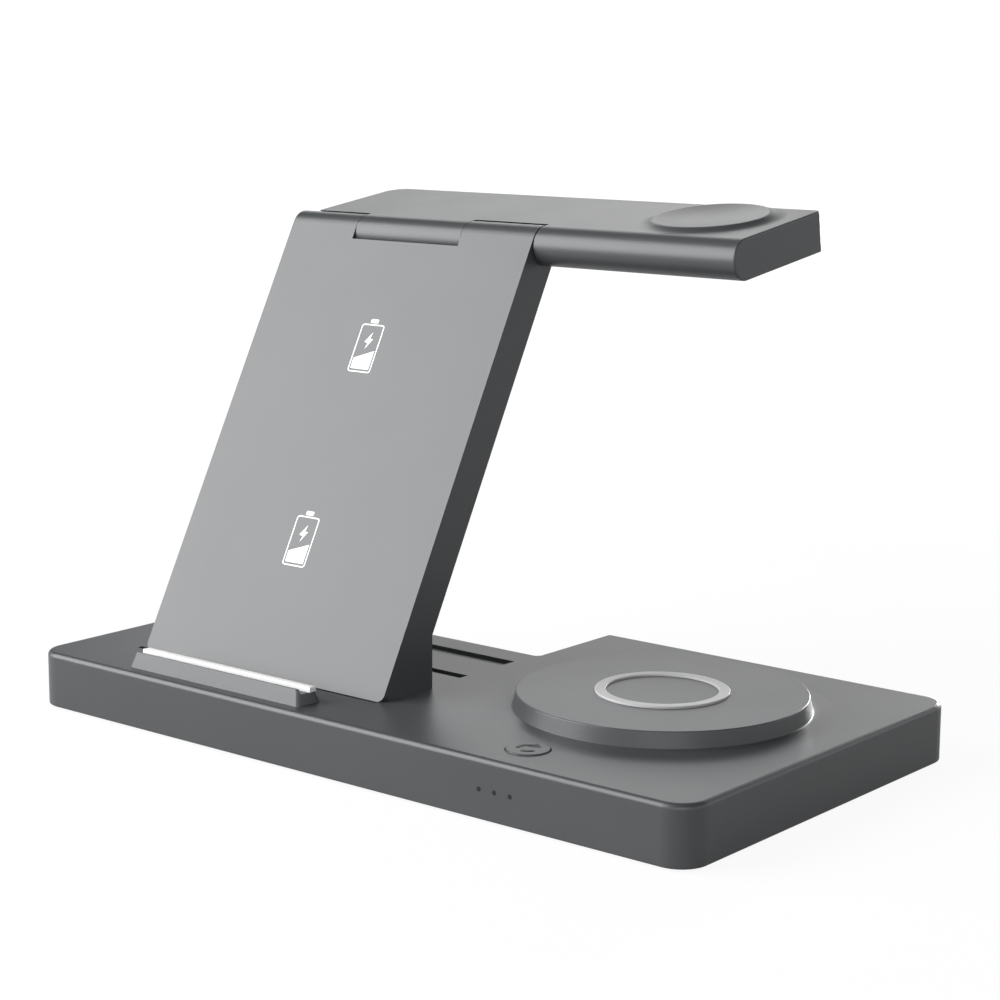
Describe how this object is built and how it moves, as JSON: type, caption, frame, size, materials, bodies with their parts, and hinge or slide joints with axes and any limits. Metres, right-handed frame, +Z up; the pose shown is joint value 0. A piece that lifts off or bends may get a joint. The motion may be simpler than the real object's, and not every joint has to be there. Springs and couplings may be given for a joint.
{
  "type": "three in one wireless charger",
  "caption": "Desk wireless charger: L-shaped base with a round earbud pad and push button, leaning phone stand with a ledge, and a folding watch arm hinged on top.",
  "frame": {"origin": "under the middle of the whole object, on the surface its feet stand on", "axes": "+X along the length of the base towards the earbud pad, -Y to the user, +Z up"},
  "size_m": [0.1904, 0.1062, 0.1213],
  "materials": {
    "housing": "satin",
    "grip_ring": "matte",
    "white_strip": "gloss",
    "foot_rubber": "matte",
    "steel": "satin",
    "magnet_plating": "bright",
    "copper": "enamelled winding",
    "ferrite": "matte",
    "board": "satin",
    "switch_body": "matte",
    "clear_plastic": "gloss",
    "led_body": "gloss"
  },
  "bodies": {
    "base": {"base_shell": "housing", "base_plate": "housing", "rubber_feet": "foot_rubber", "base_screws": "steel", "pad_ring": "grip_ring", "pad_coil": "copper", "pad_ferrite": "ferrite", "main_board": "board", "board_screws": "steel", "usb_socket": "steel", "button_switch": "switch_body", "indicator_pipes": "clear_plastic", "indicator_leds": "led_body", "phone_ledge": "housing", "ledge_strip": "white_strip", "stand_shell": "housing", "stand_back_cover": "housing", "phone_coil_upper": "copper", "phone_coil_lower": "copper", "phone_ferrite": "ferrite", "stand_screws": "steel", "hinge_pin": "steel", "friction_washers": "steel"},
    "watch_arm": {"arm_shell": "housing", "arm_cover": "housing", "arm_screws": "steel", "watch_coil": "copper", "watch_magnet": "magnet_plating", "watch_ferrite": "ferrite"},
    "button": {"power_button": "housing"}
  },
  "joints": [
    {"name": "arm_hinge", "type": "hinge", "parent": "base", "child": "watch_arm", "pos_m": [0, 0.0214, 0.11137], "axis": [1, 0, 0], "range_deg": [-35, 53]},
    {"name": "button_press", "type": "slide", "parent": "base", "child": "button", "axis": [0, 0, -1], "range_m": [0, 0.0004], "stiffness_N_per_m": 400, "springref_m": -0.001}
  ]
}
